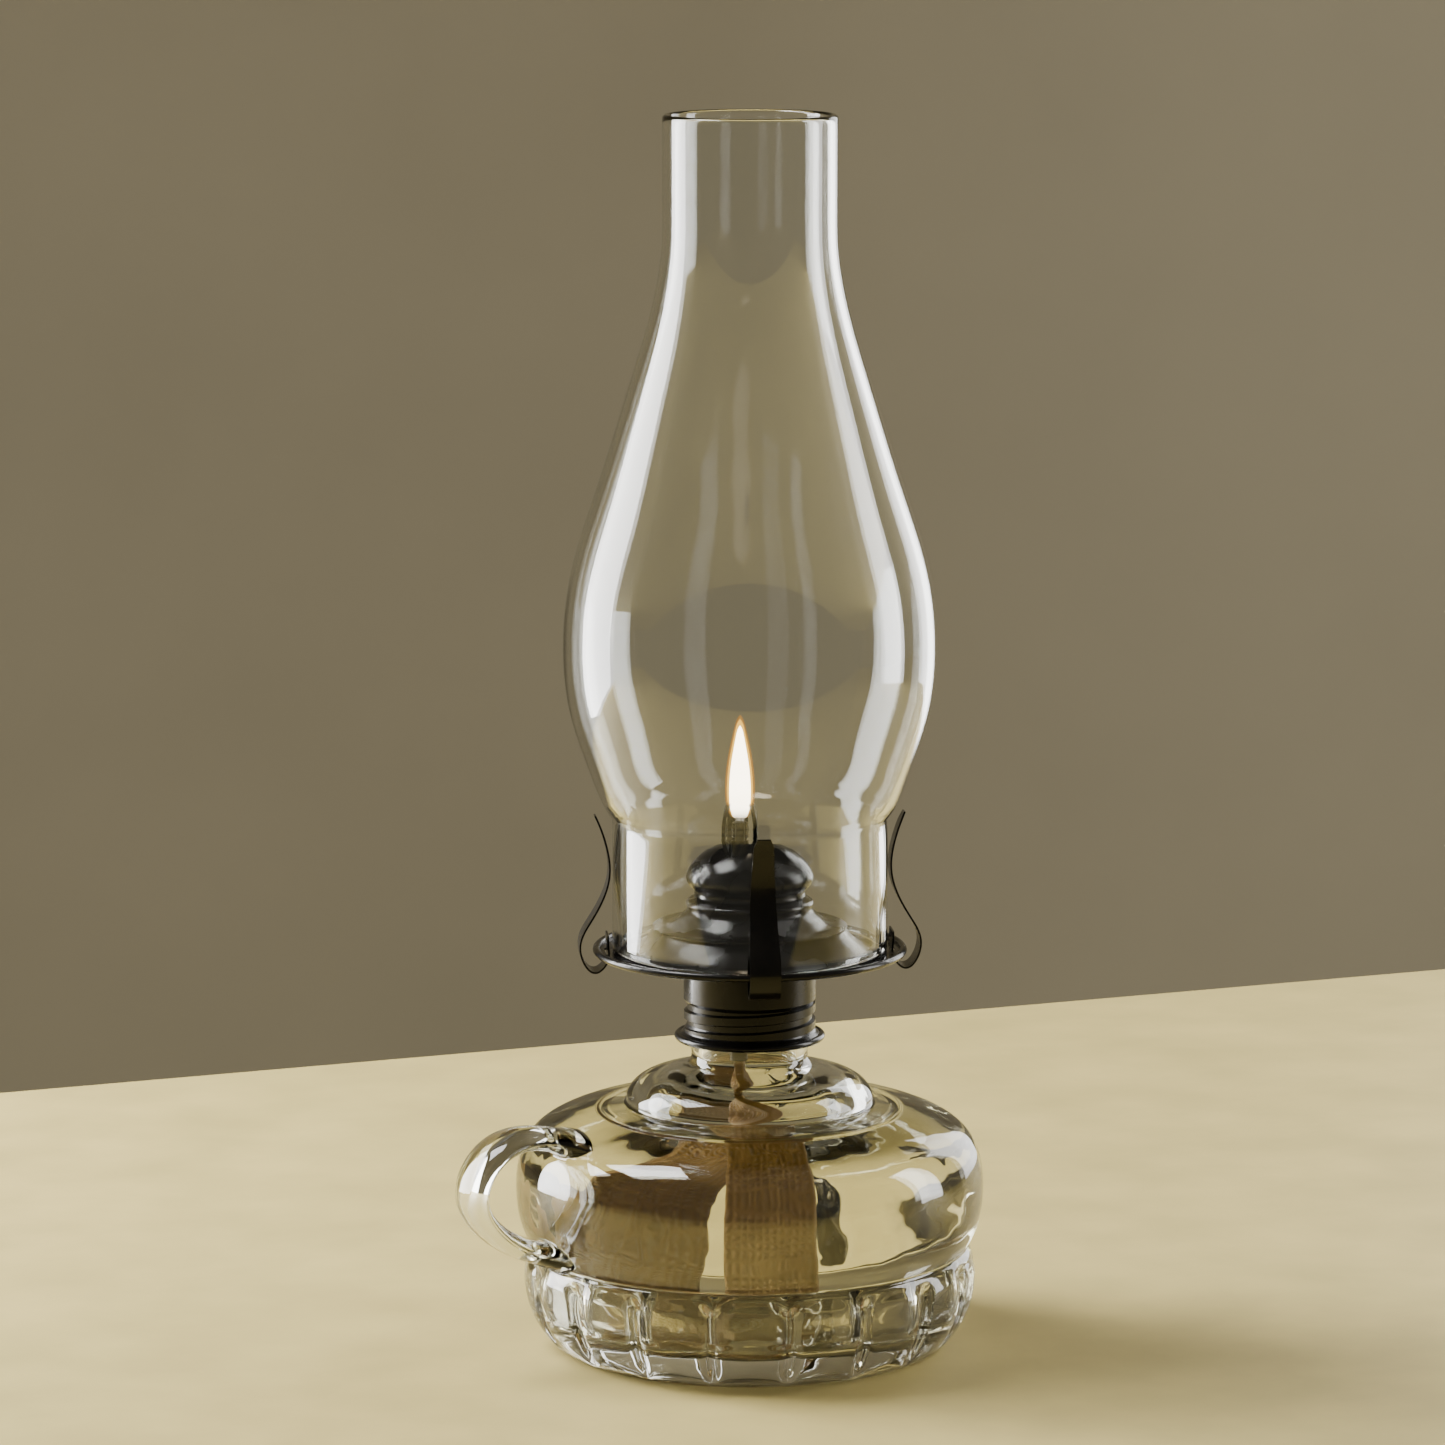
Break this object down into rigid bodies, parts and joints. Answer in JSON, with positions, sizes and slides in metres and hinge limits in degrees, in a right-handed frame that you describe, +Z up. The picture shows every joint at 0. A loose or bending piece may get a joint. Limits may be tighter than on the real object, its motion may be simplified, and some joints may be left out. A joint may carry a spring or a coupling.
{
  "type": "oil lamp",
  "caption": "Flat-wick oil lamp: clear glass font with finger handle, dark screw-on burner with wick raiser and sprung prongs, and clear glass chimney.",
  "frame": {"origin": "centre of the foot ring, on the table", "axes": "+Z up along the chimney's axis; the finger handle points along -X"},
  "size_m": [0.1363, 0.114, 0.2995],
  "materials": {
    "font_glass": "clear pressed glass, fire polished",
    "chimney_glass": "clear blown glass, smooth",
    "lamp_oil": "clear, very faint straw colour",
    "burner_metal": "near-black burnished sheet steel, satin gloss, rubbed at the edges",
    "knob_metal": "near-black burnished steel, satin gloss",
    "wire_metal": "plain steel, satin",
    "cork": "pressed cork and rubber, matte",
    "cotton": "woven cotton soaked in oil, charred at the top"
  },
  "bodies": {
    "font": {"font": "font_glass", "lamp_oil": "lamp_oil", "wick_tail": "cotton"},
    "gasket": {"cap_gasket": "cork"},
    "burner": {"screw_cap": "burner_metal", "tube_plate": "burner_metal", "wick_tube": "burner_metal", "draft_basket": "burner_metal", "gallery": "burner_metal", "cone": "burner_metal", "dome": "burner_metal", "shaft_bearing_1": "burner_metal", "shaft_bearing_2": "burner_metal", "shaft_sleeve": "burner_metal"},
    "chimney": {"chimney": "chimney_glass"},
    "raiser": {"raiser_shaft": "wire_metal", "spur_wheel_1": "wire_metal", "spur_wheel_2": "wire_metal", "spur_wheel_3": "wire_metal", "knob": "knob_metal"},
    "wick": {"wick": "cotton"},
    "prong_1": {"prong_1": "burner_metal"},
    "prong_2": {"prong_2": "burner_metal"},
    "prong_3": {"prong_3": "burner_metal"},
    "prong_4": {"prong_4": "burner_metal"}
  },
  "joints": [
    {"name": "burner_lift", "type": "slide", "parent": "font", "child": "gasket", "axis": [0, 0, 1], "range_m": [0, 0.00631]},
    {"name": "burner_turn", "type": "hinge", "parent": "gasket", "child": "burner", "pos_m": [0, 0, 0.0857], "axis": [0, 0, 1], "range_deg": [0, 540]},
    {"name": "chimney_lift", "type": "slide", "parent": "burner", "child": "chimney", "axis": [0, 0, 1], "range_m": [0, 0.06]},
    {"name": "wick_raiser", "type": "hinge", "parent": "burner", "child": "raiser", "pos_m": [0.00197, -0.00119, 0.08985], "axis": [0.515, 0.8572, 0], "range_deg": [-68, 102]},
    {"name": "wick_slide", "type": "slide", "parent": "burner", "child": "wick", "axis": [0, 0, 1], "range_m": [-0.004, 0.006]},
    {"name": "prong_1_spring", "type": "hinge", "parent": "burner", "child": "prong_1", "pos_m": [0.01463, 0.03138, 0.0972], "axis": [-0.9063, 0.4226, 0], "range_deg": [0, 6], "stiffness_Nm_per_rad": 0.3},
    {"name": "prong_2_spring", "type": "hinge", "parent": "burner", "child": "prong_2", "pos_m": [-0.03138, 0.01463, 0.0972], "axis": [-0.4226, -0.9063, 0], "range_deg": [0, 6], "stiffness_Nm_per_rad": 0.3},
    {"name": "prong_3_spring", "type": "hinge", "parent": "burner", "child": "prong_3", "pos_m": [-0.01463, -0.03138, 0.0972], "axis": [0.9063, -0.4226, 0], "range_deg": [0, 6], "stiffness_Nm_per_rad": 0.3},
    {"name": "prong_4_spring", "type": "hinge", "parent": "burner", "child": "prong_4", "pos_m": [0.03138, -0.01463, 0.0972], "axis": [0.4226, 0.9063, 0], "range_deg": [0, 6], "stiffness_Nm_per_rad": 0.3}
  ],
  "couplings": [
    {"joint": "burner_lift", "follows": "burner_turn", "m_per_rad": 0.00066845},
    {"joint": "wick_raiser", "follows": "wick_slide", "rad_per_m": 294.12}
  ]
}
